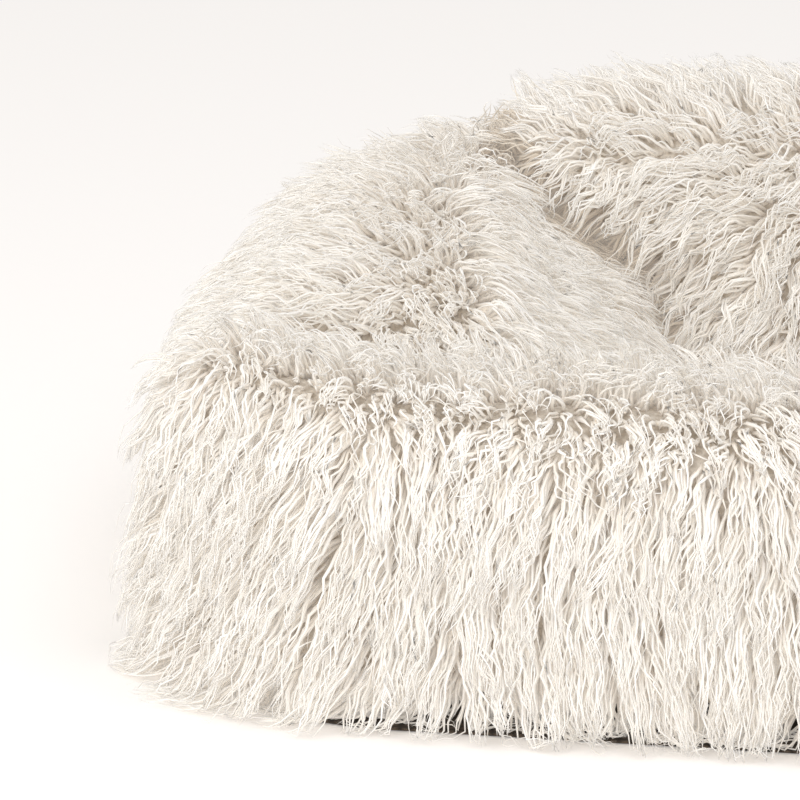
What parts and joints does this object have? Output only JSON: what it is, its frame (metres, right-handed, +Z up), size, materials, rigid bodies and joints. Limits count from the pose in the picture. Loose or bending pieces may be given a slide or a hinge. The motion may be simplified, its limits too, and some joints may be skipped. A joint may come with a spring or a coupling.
{
  "type": "pet cushion bed",
  "caption": "Sofa-shaped pet bed with a long-pile cover: front rim, thick rounded arms and a taller back round a deep sleeping well with a loose seat cushion.",
  "frame": {"origin": "on the floor, under the middle of the bed's outer box", "axes": "+X along the bed's width, -Y out of the open front, +Z up"},
  "size_m": [1.1, 0.68, 0.328],
  "materials": {
    "ivory_pile": "matte",
    "liner_cloth": "matte",
    "fibre_fill": "matte",
    "foam": "matte",
    "base_cloth": "matte",
    "plain_lining": "matte",
    "zip_tape": "matte",
    "zip_chain": "satin",
    "zip_metal": "satin",
    "label": "satin"
  },
  "bodies": {
    "bed": {"front_rim_fur_cover": "ivory_pile", "front_rim_liner": "liner_cloth", "front_rim_fibre_fill": "fibre_fill", "left_arm_fur_cover": "ivory_pile", "left_arm_liner": "liner_cloth", "left_arm_fibre_fill": "fibre_fill", "right_arm_fur_cover": "ivory_pile", "right_arm_liner": "liner_cloth", "right_arm_fibre_fill": "fibre_fill", "back_fur_cover": "ivory_pile", "back_liner": "liner_cloth", "back_fibre_fill": "fibre_fill", "back_fur_hem": "ivory_pile", "base_cloth": "base_cloth", "well_floor_lining": "plain_lining", "zip_upper_tape": "zip_tape", "zip_upper_chain": "zip_chain", "zip_lower_tape": "zip_tape", "zip_lower_chain": "zip_chain", "zip_closed_end_stop": "zip_metal", "zip_open_end_stop": "zip_metal", "care_label": "label"},
    "seat_cushion": {"seat_cushion_fur_cover": "ivory_pile", "seat_cushion_base_cloth": "plain_lining", "seat_cushion_liner": "liner_cloth", "seat_cushion_foam": "foam", "seat_cushion_fibre_topper": "fibre_fill"},
    "zip_slider": {"zip_slider": "zip_metal"},
    "zip_pull": {"zip_pull_tab": "zip_metal"}
  },
  "joints": [
    {"name": "seat_cushion_lift", "type": "slide", "parent": "bed", "child": "seat_cushion", "axis": [0, 0, 1], "range_m": [0, 0.36]},
    {"name": "zip_run", "type": "slide", "parent": "bed", "child": "zip_slider", "axis": [-1, 0, 0], "range_m": [0, 0.224]},
    {"name": "zip_pull_swing", "type": "hinge", "parent": "zip_slider", "child": "zip_pull", "pos_m": [0.1125, 0.3301, 0.017], "axis": [0, 0, -1], "range_deg": [0, 150]}
  ]
}
